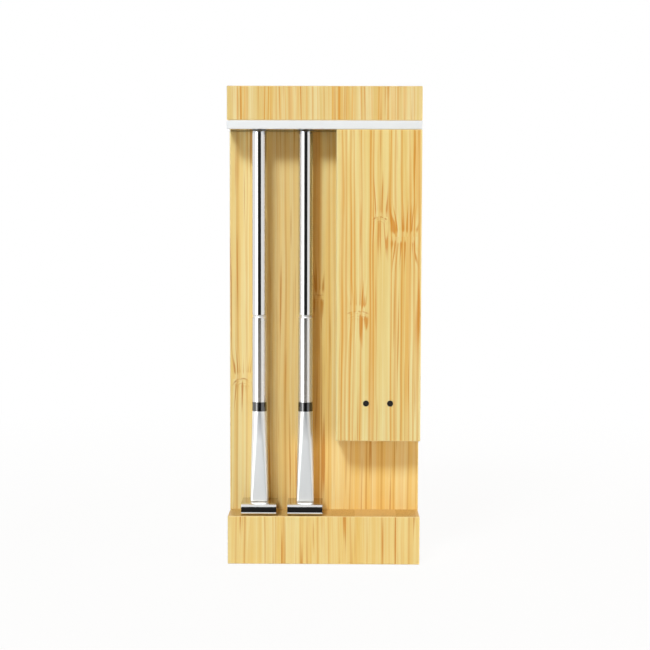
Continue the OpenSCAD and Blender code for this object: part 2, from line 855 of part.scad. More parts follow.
module probe_cell(n) {
  color("steelblue")
    translate([probe_x(n), axis_y, probe_cell_z]) cylinder(d = probe_cell_d, h = probe_cell_l);
}

bamboo_body();
top_cap();
contact_plate();
plate_screws();
cap_dowels();
electronics_cover();
led_window(1);  // led_window_1
led_window(2);  // led_window_2
circuit_board();
board_screws();
status_leds();
main_chip();
radio_module();
usb_socket();
usb_tongue();
pair_switch();
pair_button();
battery_cell();
battery_pad();
battery_leads();
tip_wires();
foot_wires();
back_magnets();
base_pad();
tip_barrel(1);  // tip_barrel_1
tip_barrel(2);  // tip_barrel_2
tip_spring(1);  // tip_spring_1
tip_spring(2);  // tip_spring_2
tip_plunger(1);  // tip_plunger_1
tip_plunger(2);  // tip_plunger_2
foot_contact(1);  // foot_contact_1
foot_contact(2);  // foot_contact_2
probe_shaft(1);  // probe_shaft_1
probe_shaft(2);  // probe_shaft_2
ring(1);  // ring_1
ring(2);  // ring_2
neck(1);  // neck_1
neck(2);  // neck_2
t_bar(1);  // t_bar_1
t_bar(2);  // t_bar_2
sensor_board(1);  // sensor_board_1
sensor_board(2);  // sensor_board_2
probe_cell(1);  // probe_cell_1
probe_cell(2);  // probe_cell_2
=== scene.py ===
"""Two wireless meat probes parked in a bamboo charging block: finishes, tip springs, light and camera."""
import json
import math

import bpy
from mathutils import Matrix, Vector


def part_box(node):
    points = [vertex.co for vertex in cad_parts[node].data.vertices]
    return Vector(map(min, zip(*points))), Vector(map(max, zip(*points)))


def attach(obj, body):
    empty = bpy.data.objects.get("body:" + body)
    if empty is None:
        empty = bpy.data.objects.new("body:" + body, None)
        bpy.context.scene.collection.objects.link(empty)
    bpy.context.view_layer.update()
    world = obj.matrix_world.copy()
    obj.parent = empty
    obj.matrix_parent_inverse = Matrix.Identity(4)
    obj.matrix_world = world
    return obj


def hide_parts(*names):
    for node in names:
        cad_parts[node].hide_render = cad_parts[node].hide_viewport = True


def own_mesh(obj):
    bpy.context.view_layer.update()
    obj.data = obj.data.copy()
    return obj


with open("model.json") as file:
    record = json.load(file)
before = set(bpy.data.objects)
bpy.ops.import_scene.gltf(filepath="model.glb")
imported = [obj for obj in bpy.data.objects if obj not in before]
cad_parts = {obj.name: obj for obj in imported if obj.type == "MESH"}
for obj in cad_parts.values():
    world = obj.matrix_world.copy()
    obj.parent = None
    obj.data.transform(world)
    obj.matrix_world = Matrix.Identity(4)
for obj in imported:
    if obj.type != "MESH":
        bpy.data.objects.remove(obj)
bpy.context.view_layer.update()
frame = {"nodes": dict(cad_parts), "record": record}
nodes = frame["nodes"]

MM = 0.001
PROBES = ("1", "2")
WHITE = "#FFFFFF"
# The middle of soft noise, and the levels that it mostly keeps between.
NOISE_MIDDLE = 0.5
NOISE_SPAN = (0.3, 0.7)


def linear(hex_colour):
    """An sRGB hex colour as the linear red, green, blue and alpha that a shader takes."""
    channels = [int(hex_colour[i:i + 2], 16) / 255 for i in (1, 3, 5)]
    return [c / 12.92 if c <= 0.04045 else ((c + 0.055) / 1.055) ** 2.4 for c in channels] + [1.0]


def add(tree, kind, inputs, **settings):
    """Adds one node: settings by name, then each input linked to a node or socket, or set."""
    node = tree.nodes.new("ShaderNode" + kind)
    for name, value in settings.items():
        setattr(node, name, value)
    for key, value in inputs.items():
        if isinstance(value, bpy.types.Node):
            value = value.outputs[0]
        if isinstance(value, bpy.types.NodeSocket):
            tree.links.new(value, node.inputs[key])
        else:
            node.inputs[key].default_value = value
    return node


def blank(name):
    """A new material and its tree."""
    material = bpy.data.materials.new(name)
    material.use_nodes = True
    return material, material.node_tree


def start(name, shift=(0.0, 0.0, 0.0)):
    """A new material: itself, its tree, its shader, and the place on the piece in millimetres."""
    material, tree = blank(name)
    shader = tree.nodes["Principled BSDF"]
    spot = add(tree, "TexCoord", {}).outputs["Object"]
    place = add(tree, "Mapping", {"Vector": spot, "Location": shift, "Scale": (1 / MM, 1 / MM, 1 / MM)})
    return material, tree, shader, place


def finish(tree, shader, **inputs):
    """Links or sets the shader's own inputs, with spaces written as underscores."""
    for name, value in inputs.items():
        socket = shader.inputs[name.replace("_", " ")]
        if isinstance(value, bpy.types.Node):
            tree.links.new(value.outputs[0], socket)
        else:
            socket.default_value = value


def drawn_out(tree, place, size, detail):
    """A pattern with one size across the piece and another along its height, in millimetres."""
    stretched = add(tree, "Mapping", {"Vector": place, "Scale": (1 / size[0], 1 / size[0], 1 / size[1])})
    return add(tree, "TexNoise", {"Vector": stretched, "Scale": 1.0, "Detail": detail})


def facing(tree):
    """The way a face points, by the piece's own X, Y and Z."""
    return add(tree, "SeparateXYZ", {0: add(tree, "TexCoord", {}).outputs["Normal"]})


def follow(tree, pattern, tones, rough, span=(0.0, 1.0)):
    """Colour and roughness that both follow one pattern, from its low to its high places."""
    colour = add(tree, "MixRGB", {0: pattern, 1: linear(tones[0]), 2: linear(tones[1])})
    level = add(tree, "MapRange", {"Value": pattern, "From Min": span[0], "From Max": span[1],
                                   "To Min": rough[0], "To Max": rough[1]})
    return {"Base_Color": colour, "Roughness": level}


# Camera, fitted to the edges of the block: millimetres and degrees.
CAMERA_AT = (6.05, -524.76, 119.16)
CAMERA_PITCH = 4.355
CAMERA_YAW = 0.645
CAMERA_ROLL = 0.154
CAMERA_LENS = 85.82
CAMERA_SENSOR = 36.0
CAMERA_CLIP = (10.0, 50000.0)


def camera():
    """A product camera in front of the block, above its middle and looking slightly down."""
    pitch = math.radians(CAMERA_PITCH)
    yaw = math.radians(CAMERA_YAW)
    ahead = Vector((-math.sin(yaw) * math.cos(pitch), math.cos(yaw) * math.cos(pitch), -math.sin(pitch)))
    right = Vector((math.cos(yaw), math.sin(yaw), 0.0))
    turn = Matrix((right, right.cross(ahead), -ahead)).transposed().to_4x4()
    roll = Matrix.Rotation(math.radians(CAMERA_ROLL), 4, "Z")
    data = bpy.data.cameras.new("camera")
    data.lens = CAMERA_LENS
    data.sensor_width = CAMERA_SENSOR
    data.clip_start, data.clip_end = (limit * MM for limit in CAMERA_CLIP)
    eye = bpy.data.objects.new("camera", data)
    eye.matrix_world = Matrix.Translation(Vector(CAMERA_AT) * MM) @ turn @ roll
    bpy.context.collection.objects.link(eye)
    bpy.context.scene.camera = eye


# Soft boxes: place and size in millimetres, the light they give a face that is turned to them, their
# colour, and whether metal shows them.
AIM = (-5.0, -8.0, 80.0)
SOFT_BOXES = {
    "key_box": ((-330.0, -900.0, 890.0), (300.0, 260.0), 0.63, "#F0FAFF", True),
    "fill_box": ((-60.0, -760.0, 200.0), (300.0, 300.0), 0.065, "#FFD8A0", False),
    "low_box": ((800.0, -460.0, 120.0), (300.0, 220.0), 0.41, "#FFF1DE", False),
    "right_box": ((620.0, 60.0, 260.0), (420.0, 420.0), 0.12, "#FFFAF2", False),
    "back_box": ((60.0, 560.0, 330.0), (500.0, 400.0), 0.40, "#FFFCF6", True),
}
# Light that the walls give the block: its colour, and its level from the side and from above.
ROOM_COLOUR = "#FFCC84"
ROOM_LOW = 0.215
ROOM_HIGH = 0.185
# A ray that has not yet met a dull surface has a depth below this.
FIRST_DEPTH = 0.5
# Floor: width in metres, its paint, the share of the shadow that shows, and the distances in metres
# between which it runs out.
FLOOR_WIDTH = 12.0
FLOOR_PAINT = "#F6F6F6"
SHADOW_SHARE = 0.06
SHADOW_REACH = (0.12, 0.40)


def soft_boxes():
    """Lamps behind white cloth, turned to the block; a level of 1 shows a colour as it is written."""
    for name, (place, size, level, colour, shown) in SOFT_BOXES.items():
        data = bpy.data.lights.new(name, "AREA")
        data.shape = "RECTANGLE"
        data.size = size[0] * MM
        data.size_y = size[1] * MM
        data.color = linear(colour)[:3]
        way = (Vector(place) - Vector(AIM)) * MM
        data.energy = level * math.pi ** 2 * way.length_squared
        box = bpy.data.objects.new(name, data)
        box.rotation_euler = way.to_track_quat("Z", "Y").to_euler()
        box.location = Vector(place) * MM
        box.visible_glossy = shown
        bpy.context.collection.objects.link(box)


def white_room():
    """White walls for the eye and for metal, which give the block a lower, warm light."""
    world = bpy.data.worlds.new("white_room")
    bpy.context.scene.world = world
    world.use_nodes = True
    tree = world.node_tree
    rays = add(tree, "LightPath", {})
    seen = rays.outputs["Is Camera Ray"]
    for kind in ("Is Glossy Ray", "Is Transmission Ray"):
        seen = add(tree, "Math", {0: seen, 1: rays.outputs[kind]}, operation="MAXIMUM")
    first = add(tree, "Math", {0: rays.outputs["Diffuse Depth"], 1: FIRST_DEPTH}, operation="LESS_THAN")
    seen = add(tree, "Math", {0: seen, 1: first}, operation="MULTIPLY")
    walls = tree.nodes["Background"]
    colour = add(tree, "MixRGB", {0: seen, 1: linear(ROOM_COLOUR), 2: linear(WHITE)})
    up = add(tree, "SeparateXYZ", {0: add(tree, "TexCoord", {}).outputs["Generated"]}).outputs["Z"]
    level = add(tree, "MapRange", {"Value": up, "To Min": ROOM_LOW, "To Max": ROOM_HIGH})
    level = add(tree, "MapRange", {"Value": seen, "To Min": level, "To Max": 1.0})
    tree.links.new(colour.outputs[0], walls.inputs["Color"])
    tree.links.new(level.outputs[0], walls.inputs["Strength"])


def white_floor():
    """White table that keeps a faint shadow of the block and runs out into the white walls."""
    bpy.ops.object.select_all(action="DESELECT")
    bpy.ops.mesh.primitive_plane_add(size=FLOOR_WIDTH)
    floor = bpy.context.object
    floor.name = "floor"
    floor.visible_glossy = False
    material, tree = blank("white_floor")
    rays = add(tree, "LightPath", {})
    spot = add(tree, "TexCoord", {}).outputs["Object"]
    away = add(tree, "VectorMath", {0: spot}, operation="LENGTH").outputs["Value"]
    plain = add(tree, "MapRange", {"Value": away, "From Min": SHADOW_REACH[0], "From Max": SHADOW_REACH[1],
                                   "To Min": 1.0 - SHADOW_SHARE, "To Max": 1.0})
    plain = add(tree, "Math", {0: plain, 1: rays.outputs["Is Camera Ray"]}, operation="MULTIPLY")
    paint = add(tree, "BsdfDiffuse", {"Color": linear(FLOOR_PAINT)})
    white = add(tree, "Emission", {"Color": linear(WHITE), "Strength": 1.0})
    both = add(tree, "MixShader", {0: plain, 1: paint, 2: white})
    tree.links.new(both.outputs[0], tree.nodes["Material Output"].inputs["Surface"])
    floor.data.materials.append(material)


# Cards that only metal and gloss show: left, right, low and high edge, distance, colour and strength.
# The black one gives steel its dark line, and the bright one the white stripe on the rings.
CARDS = {
    "black_card": ((-190.0, 255.0, -900.0, 560.0), -500.0, "#262627", 1.0),
    "bright_card": ((-760.0, -345.0, -400.0, 420.0), -499.0, WHITE, 4.0),
}


def card(name, edges, distance, colour, strength):
    """A card in front of the block, which shows only in metal and gloss."""
    left, right, low, high = edges
    bpy.ops.object.select_all(action="DESELECT")
    bpy.ops.mesh.primitive_plane_add(size=1.0, rotation=(math.pi / 2, 0.0, 0.0), location=(
        (left + right) / 2 * MM, distance * MM, (low + high) / 2 * MM))
    sheet = bpy.context.object
    sheet.name = name
    sheet.scale = ((right - left) * MM, (high - low) * MM, 1.0)
    sheet.visible_camera = False
    sheet.visible_diffuse = False
    sheet.visible_transmission = False
    sheet.visible_shadow = False
    material, tree = blank(name)
    glow = add(tree, "Emission", {"Color": linear(colour), "Strength": strength})
    tree.links.new(glow.outputs[0], tree.nodes["Material Output"].inputs["Surface"])
    sheet.data.materials.append(material)


# Bamboo, in millimetres: strip width, and the width and length of its fibres, bands, lines and streaks.
STRIP = 7.2
FIBRE = (0.28, 90.0)
BAND = (2.4, 120.0)
LINE = (0.75, 110.0)
STREAK = (0.75, 40.0)
# How unequal the strips are, the jump of the grain from strip to strip, and its slow wander and sway.
STRIP_UNEVEN = 0.7
STRIP_JUMP = (60.0, 60.0, 300.0)
WANDER = (9.0, 45.0)
SWAY = 0.7
# Noise levels between which lines and streaks set in, and the share of their colour that shows.
LINE_LEVELS = (0.53, 0.74)
LINE_SHARE = 0.7
STREAK_LEVELS = (0.66, 0.80)
STREAK_SHARE = 0.8
# Veins: share of half their width with full colour, and the band levels between which they go from
# their weakest share to full.
VEIN_CORE = 0.2
VEIN_LEVELS = (0.3, 0.6)
VEIN_WEAKEST = 0.4
# How far fibres, strips and bands move the colour from the pale to the warm tone.
FIBRE_WARMTH = (-0.05, 0.4)
STRIP_WARMTH = 0.22
BAND_LEVELS = (0.35, 0.65)
BAND_WARMTH = (-0.1, 0.45)
# Knuckles: reach of the streaks along the grain, from their pointed end over the widest place to the far
# end; where a knuckle fades sideways, as shares of half its width; how much streaks crowd there; and how
# far the grain draws together and steps aside.
POINT = 0.2
WIDEST = 2.6
FADED = 13.0
KNUCKLE_EDGE = (0.75, 1.15)
CROWD = 0.30
PINCH = 0.45
STEP = 0.9
# Rings at the knuckles: size and levels of the wear that breaks them, their soft edge, share and reach
# along the grain, and the spacing, levels and share of the ripples inside.
WEAR = 10 / 9
WEAR_LEVELS = (0.42, 0.6)
RING_EDGE = (0.1, 0.38)
RING_SHARE = 0.8
RING_REACH = (1.8, 2.8)
RIPPLE = 0.85
RIPPLE_LEVELS = (0.2, 1.0)
RIPPLE_SHARE = 0.35
# End grain: how far a face has to look up or down, spacing and soft edge of the pores, and how much paler
# some strips are.
END_FACING = (0.6, 0.9)
PORE = 0.5
PORE_EDGE = (0.1, 0.55)
PALE_ENDS = 0.55
# Corners, which look to no side squarely, and the share of the painted highlight colour that they show.
CORNER_FACING = (0.80, 0.98)
PAINTED_HIGHLIGHT_SHARE = 0.65
# Depth of the joint between the front and back layers, the soft edge of an amber strip, partly painted
# shade, and the heights between which painted light makes a strip paler towards its foot.
LAYER = -4.0
SOFT = 1.2
PAINTED_LIGHT_HEIGHTS = (45.0, 125.0)
# Roughness of the oiled fibres, and the colours of the marks in them.
BAMBOO_ROUGH = (0.44, 0.58)
BAMBOO_TONES = {
    # Amber strips, partly the panel's own tone and partly painted shade.
    "amber": "#E0A548",
    "line": "#DBA344",
    "vein": "#D19330",
    "streak": "#C98427",
    "ring": "#BE7E33",
    "pore": "#BC8A42",
    "end": "#DDB569",
    "pale end": "#EFCF8C",
    # Colour of the painted highlight on rounded edges.
    "painted_highlight": "#F4E5B2",
}


def distance_from(tree, across, x):
    """How far a place is from a line across the piece, to either side."""
    return add(tree, "Math", {0: add(tree, "Math", {0: across, 1: x}, operation="SUBTRACT")},
               operation="ABSOLUTE")


def knuckle_grain(tree, here, grain, knuckles):
    """Draws the grain together at each knuckle and steps it aside below. Gives the bent grain, how much
    streaks crowd, and each arch: distance from its centre, radius, share across and height away."""
    crowd = 0.0
    arches = []
    for x, z, half, arch, streaks in knuckles:
        aside = add(tree, "Math", {0: here.outputs["X"], 1: x}, operation="SUBTRACT")
        rise = add(tree, "Math", {0: here.outputs["Z"], 1: z}, operation="SUBTRACT")
        away = add(tree, "Math", {0: rise}, operation="ABSOLUTE")
        wide = add(tree, "Math", {0: aside}, operation="ABSOLUTE")
        wide = add(tree, "MapRange", {"Value": wide, "From Min": KNUCKLE_EDGE[0] * half,
                                      "From Max": KNUCKLE_EDGE[1] * half, "To Min": 1.0, "To Max": 0.0})
        swell = add(tree, "MapRange", {"Value": away, "From Min": POINT, "From Max": WIDEST},
                    interpolation_type="SMOOTHSTEP")
        fade = add(tree, "MapRange", {"Value": away, "From Min": WIDEST, "From Max": FADED,
                                      "To Min": 1.0, "To Max": 0.0})
        for share in (fade, wide, streaks):
            swell = add(tree, "Math", {0: swell, 1: share}, operation="MULTIPLY")
        crowd = add(tree, "Math", {0: crowd, 1: swell}, operation="MAXIMUM")
        pinch = add(tree, "MapRange", {"Value": away, "From Max": FADED, "To Min": 1.0, "To Max": 0.0},
                    interpolation_type="SMOOTHSTEP")
        for share in (wide, aside, PINCH):
            pinch = add(tree, "Math", {0: pinch, 1: share}, operation="MULTIPLY")
        step = add(tree, "Math", {0: rise, 1: 0.0}, operation="LESS_THAN")
        for share in (wide, STEP):
            step = add(tree, "Math", {0: step, 1: share}, operation="MULTIPLY")
        bend = add(tree, "CombineXYZ", {0: add(tree, "Math", {0: pinch, 1: step}, operation="ADD")})
        grain = add(tree, "VectorMath", {0: grain, 1: bend}, operation="ADD")
        if arch:
            above = add(tree, "Math", {0: rise, 1: arch}, operation="ADD")
            centre = add(tree, "CombineXYZ", {0: aside, 2: above})
            radius = add(tree, "VectorMath", {0: centre}, operation="LENGTH").outputs["Value"]
            arches.append((radius, arch, wide, away))
    return grain, crowd, arches


def knuckle_rings(tree, place, arches, colour):
    """A brown ring at each arch, worn away in places, with fainter ripples inside it."""
    worn = add(tree, "TexNoise", {"Vector": place, "Scale": 1 / WEAR, "Detail": 2.0})
    worn = add(tree, "MapRange", {"Value": worn, "From Min": WEAR_LEVELS[0], "From Max": WEAR_LEVELS[1]})
    for radius, arch, wide, away in arches:
        off = add(tree, "Math", {0: radius, 1: arch}, operation="SUBTRACT")
        edge = add(tree, "Math", {0: off}, operation="ABSOLUTE")
        ring = add(tree, "MapRange", {"Value": edge, "From Min": RING_EDGE[0], "From Max": RING_EDGE[1],
                                      "To Min": RING_SHARE, "To Max": 0.0})
        ripple = add(tree, "Math", {0: off, 1: 2 * math.pi / RIPPLE}, operation="MULTIPLY")
        ripple = add(tree, "Math", {0: ripple}, operation="SINE")
        ripple = add(tree, "MapRange", {"Value": ripple, "From Min": RIPPLE_LEVELS[0],
                                        "From Max": RIPPLE_LEVELS[1], "To Max": RIPPLE_SHARE})
        inside = add(tree, "Math", {0: off, 1: 0.0}, operation="LESS_THAN")
        ripple = add(tree, "Math", {0: ripple, 1: inside}, operation="MULTIPLY")
        mark = add(tree, "Math", {0: ring, 1: ripple}, operation="MAXIMUM")
        close = add(tree, "MapRange", {"Value": away, "From Min": RING_REACH[0], "From Max": RING_REACH[1],
                                       "To Min": 1.0, "To Max": 0.0})
        for share in (worn, wide, close):
            mark = add(tree, "Math", {0: mark, 1: share}, operation="MULTIPLY")
        colour = add(tree, "MixRGB", {0: mark, 1: colour, 2: linear(BAMBOO_TONES["ring"])})
    return colour


def end_grain(tree, place, tone, face, colour):
    """Faces that look up or down show the cut fibres as dark dots, on a paler ground in some strips."""
    end = add(tree, "Math", {0: face.outputs["Z"]}, operation="ABSOLUTE")
    end = add(tree, "MapRange", {"Value": end, "From Min": END_FACING[0], "From Max": END_FACING[1]})
    pores = add(tree, "TexVoronoi", {"Scale": 1.0, "Vector": add(tree, "Mapping", {
        "Vector": place, "Scale": (1 / PORE, 1 / PORE, 0.0)})})
    pores = add(tree, "MapRange", {"Value": pores, "From Min": PORE_EDGE[0], "From Max": PORE_EDGE[1]})
    cut = add(tree, "MixRGB", {0: pores, 1: linear(BAMBOO_TONES["pore"]), 2: linear(BAMBOO_TONES["end"])})
    paler = add(tree, "Math", {0: tone, 1: PALE_ENDS}, operation="MULTIPLY")
    cut = add(tree, "MixRGB", {0: paler, 1: cut, 2: linear(BAMBOO_TONES["pale end"])})
    return add(tree, "MixRGB", {0: end, 1: colour, 2: cut})


def painted_edge_highlights(tree, face, colour):
    """Painted highlight: rounded edges are paler than the faces beside them."""
    square = add(tree, "Math", {0: face.outputs["X"]}, operation="ABSOLUTE")
    for axis in ("Y", "Z"):
        other = add(tree, "Math", {0: face.outputs[axis]}, operation="ABSOLUTE")
        square = add(tree, "Math", {0: square, 1: other}, operation="MAXIMUM")
    painted_highlight = add(tree, "MapRange", {"Value": square, "From Min": CORNER_FACING[0],
                                    "From Max": CORNER_FACING[1], "To Min": PAINTED_HIGHLIGHT_SHARE, "To Max": 0.0})
    return add(tree, "MixRGB", {0: painted_highlight, 1: colour, 2: linear(BAMBOO_TONES["painted_highlight"])})


def laminated_bamboo(name, shift, tones, veins, lines, knuckles=(), painted_light_back=None, amber=(), pale=0.0):
    """Bamboo strips glued side by side, planed and oiled: pale honey with fine upright fibres, long
    amber lines, knuckles where pointed streaks meet a broken ring, dotted end grain and a painted highlight
    on rounded edges.
    Shift moves the pattern, tones are the pale and the warm one, and lines is a level. Veins are the
    strongest lines, by their place across and half their width; knuckles have their place across and
    up, half their width, the radius of their arch, if any, and a level of streaks. The back layer may
    have its own tones, paler as painted light for the recess, and then amber strips with their place
    across, half their width and a level, partly the panel's own warmer strips and partly painted shade.
    Pale is how far the warm tone fades towards the foot, as painted light."""
    material, tree, shader, place = start(name, shift)
    here = add(tree, "SeparateXYZ", {0: add(tree, "VectorMath", {0: place, 1: shift}, operation="SUBTRACT")})
    wander = drawn_out(tree, place, WANDER, detail=1.0).outputs["Color"]
    sway = add(tree, "VectorMath", {0: wander, 1: (NOISE_MIDDLE,) * 3}, operation="SUBTRACT")
    sway = add(tree, "VectorMath", {0: sway, 1: (2 * SWAY, 2 * SWAY, 0.0)}, operation="MULTIPLY")
    grain = add(tree, "VectorMath", {0: place, 1: sway}, operation="ADD")

    across = add(tree, "SeparateXYZ", {0: place}).outputs["X"]
    across = add(tree, "Math", {0: across, 1: 1 / STRIP}, operation="MULTIPLY")
    strip = add(tree, "TexVoronoi", {"W": across, "Scale": 1.0, "Randomness": STRIP_UNEVEN},
                voronoi_dimensions="1D").outputs["Color"]
    jump = add(tree, "VectorMath", {0: strip, 1: STRIP_JUMP}, operation="MULTIPLY")
    grain = add(tree, "VectorMath", {0: grain, 1: jump}, operation="ADD")
    tone = add(tree, "SeparateColor", {0: strip})
    grain, crowd, arches = knuckle_grain(tree, here, grain, knuckles)

    fibre = drawn_out(tree, grain, FIBRE, detail=2.0)
    band = drawn_out(tree, grain, BAND, detail=1.0)
    line = drawn_out(tree, grain, LINE, detail=1.0)
    line = add(tree, "MapRange", {"Value": line, "From Min": LINE_LEVELS[0], "From Max": LINE_LEVELS[1],
                                  "To Max": LINE_SHARE * lines})
    streak = drawn_out(tree, grain, STREAK, detail=0.0)
    streak = add(tree, "Math", {0: crowd, 1: CROWD, 2: streak}, operation="MULTIPLY_ADD")
    streak = add(tree, "MapRange", {"Value": streak, "From Min": STREAK_LEVELS[0],
                                    "From Max": STREAK_LEVELS[1], "To Max": STREAK_SHARE})

    swayed = add(tree, "SeparateXYZ", {0: sway}).outputs["X"]
    swayed = add(tree, "Math", {0: swayed, 1: here.outputs["X"]}, operation="ADD")
    vein = 0.0
    for x, half in veins:
        near = add(tree, "MapRange", {"Value": distance_from(tree, swayed, x), "From Min": VEIN_CORE * half,
                                      "From Max": half, "To Min": 1.0, "To Max": 0.0})
        vein = add(tree, "Math", {0: vein, 1: near}, operation="MAXIMUM")
    strength = add(tree, "MapRange", {"Value": band, "From Min": VEIN_LEVELS[0], "From Max": VEIN_LEVELS[1],
                                      "To Min": VEIN_WEAKEST * lines, "To Max": lines})
    vein = add(tree, "Math", {0: vein, 1: strength}, operation="MULTIPLY")

    warm = add(tree, "MapRange", {"Value": fibre, "From Min": NOISE_SPAN[0], "From Max": NOISE_SPAN[1],
                                  "To Min": FIBRE_WARMTH[0], "To Max": FIBRE_WARMTH[1]})
    warm = add(tree, "Math", {0: tone, 1: STRIP_WARMTH, 2: warm}, operation="MULTIPLY_ADD")
    broad = add(tree, "MapRange", {"Value": band, "From Min": BAND_LEVELS[0], "From Max": BAND_LEVELS[1],
                                   "To Min": BAND_WARMTH[0], "To Max": BAND_WARMTH[1]})
    warm = add(tree, "Math", {0: warm, 1: broad}, operation="ADD", use_clamp=True)
    # Painted light: the warm tone fades towards the foot, so the foot is paler.
    if pale:
        fade = add(tree, "MapRange", {"Value": here.outputs["Z"], "From Min": PAINTED_LIGHT_HEIGHTS[0], "From Max": PAINTED_LIGHT_HEIGHTS[1],
                                      "To Min": -pale, "To Max": 0.0})
        warm = add(tree, "Math", {0: warm, 1: fade}, operation="ADD", use_clamp=True)
    colour = add(tree, "MixRGB", {0: warm, 1: linear(tones[0]), 2: linear(tones[1])})
    # Painted light: the back layer's tones are paler, making up for light that the recess misses.
    if painted_light_back:
        behind = add(tree, "MixRGB", {0: warm, 1: linear(painted_light_back[0]), 2: linear(painted_light_back[1])})
        # Amber strips: partly the panel's own warmer strips, partly painted shade that deepens the shadow
        # beside the right-hand probe and the panel under the housing.
        for x, half, level in amber:
            near = add(tree, "MapRange", {"Value": distance_from(tree, here.outputs["X"], x),
                                          "From Min": half - SOFT, "From Max": half,
                                          "To Min": level, "To Max": 0.0})
            behind = add(tree, "MixRGB", {0: near, 1: behind, 2: linear(BAMBOO_TONES["amber"])})
        layer = add(tree, "Math", {0: here.outputs["Y"], 1: LAYER}, operation="GREATER_THAN")
        colour = add(tree, "MixRGB", {0: layer, 1: colour, 2: behind})
    for share, mark in ((line, "line"), (vein, "vein"), (streak, "streak")):
        colour = add(tree, "MixRGB", {0: share, 1: colour, 2: linear(BAMBOO_TONES[mark])})
    if arches:
        colour = knuckle_rings(tree, place, arches, colour)
    face = facing(tree)
    colour = end_grain(tree, place, tone, face, colour)
    # Painted highlight along the rounded edges.
    colour = painted_edge_highlights(tree, face, colour)
    rough = add(tree, "MapRange", {"Value": fibre, "From Min": NOISE_SPAN[0], "From Max": NOISE_SPAN[1],
                                   "To Min": BAMBOO_ROUGH[0], "To Max": BAMBOO_ROUGH[1]})
    relief = add(tree, "Bump", {"Strength": 0.25, "Distance": 0.03 * MM, "Height": fibre})
    finish(tree, shader, Base_Color=colour, Roughness=rough, Normal=relief, IOR=1.45, Specular_IOR_Level=0.35)
    return material


# Mirror steel: size of the buffing rings in millimetres and how much they roughen, roughness of the
# polish and of the matt line, and how squarely a flat top looks up to take its painted shade.
BUFFING = (5.0, 0.25)
BUFFED = 0.02
POLISH = 0.07
MATT = 0.45
TOP_FACING = 0.98
# Height of the tube's line groove, half the width of its matt line, and where the dull end begins.
GROOVE = 82.8
GROOVE_LINE = 0.42
DULL_END = 54.0


def mirror_steel(name, dull, bare=None):
    """Stainless steel, ground and buffed to a mirror, with faint buffing rings and painted shade on flat
    tops.
    Below its matt line groove the tube is duller and slightly veiled, which softens the black line
    there: dull is its roughness at the low end and at the groove, and bare its share of bare metal."""
    material, tree, shader, place = start(name)
    rings = drawn_out(tree, place, BUFFING, detail=2.0)
    colour = add(tree, "MixRGB", {0: rings, 1: linear("#DBDAD9"), 2: linear("#E4E3E2")})
    # Painted shade: flat tops take a darker colour, which darkens what they mirror.
    painted_shade_top = add(tree, "Math", {0: facing(tree).outputs["Z"], 1: TOP_FACING}, operation="GREATER_THAN")
    colour = add(tree, "MixRGB", {0: painted_shade_top, 1: colour, 2: linear("#D2C9BD")})
    height = add(tree, "SeparateXYZ", {0: place}).outputs["Z"]
    above = add(tree, "Math", {0: height, 1: GROOVE}, operation="GREATER_THAN")
    rough = add(tree, "MapRange", {"Value": height, "From Min": DULL_END, "From Max": GROOVE,
                                   "To Min": dull[0], "To Max": dull[1]})
    rough = add(tree, "MapRange", {"Value": above, "To Min": rough, "To Max": POLISH})
    line = add(tree, "Math", {0: height, 1: GROOVE, 2: GROOVE_LINE}, operation="COMPARE")
    rough = add(tree, "MapRange", {"Value": line, "To Min": rough, "To Max": MATT})
    rough = add(tree, "Math", {0: rings, 1: BUFFED, 2: rough}, operation="MULTIPLY_ADD")
    metal = 1.0
    if bare:
        metal = add(tree, "MapRange", {"Value": height, "From Min": DULL_END, "From Max": GROOVE,
                                       "To Min": bare[0], "To Max": bare[1]})
        metal = add(tree, "MapRange", {"Value": above, "To Min": metal, "To Max": 1.0})
    finish(tree, shader, Base_Color=colour, Roughness=rough, Metallic=metal)
    return material


# Satin steel: grit in millimetres, drawn coarse enough to show, and how much it roughens; the facing and
# roughness from a polished corner to a flat; how far a front facet may look aside, and how much painted
# highlight whitens it; and the heights between which painted shade darkens it towards its point, and by how
# much.
SATIN_GRIT = 0.2
GRITTY = 0.06
FLAT_FACING = (0.80, 0.995)
SATIN_ROUGH = (0.34, 0.55)
FRONT_FACING = (0.08, 0.22)
FRONT_PAINTED_HIGHLIGHT = 0.6
PAINTED_SHADE_HEIGHTS = (41.0, 50.5)
PAINTED_SHADE_DEPTH = 0.6


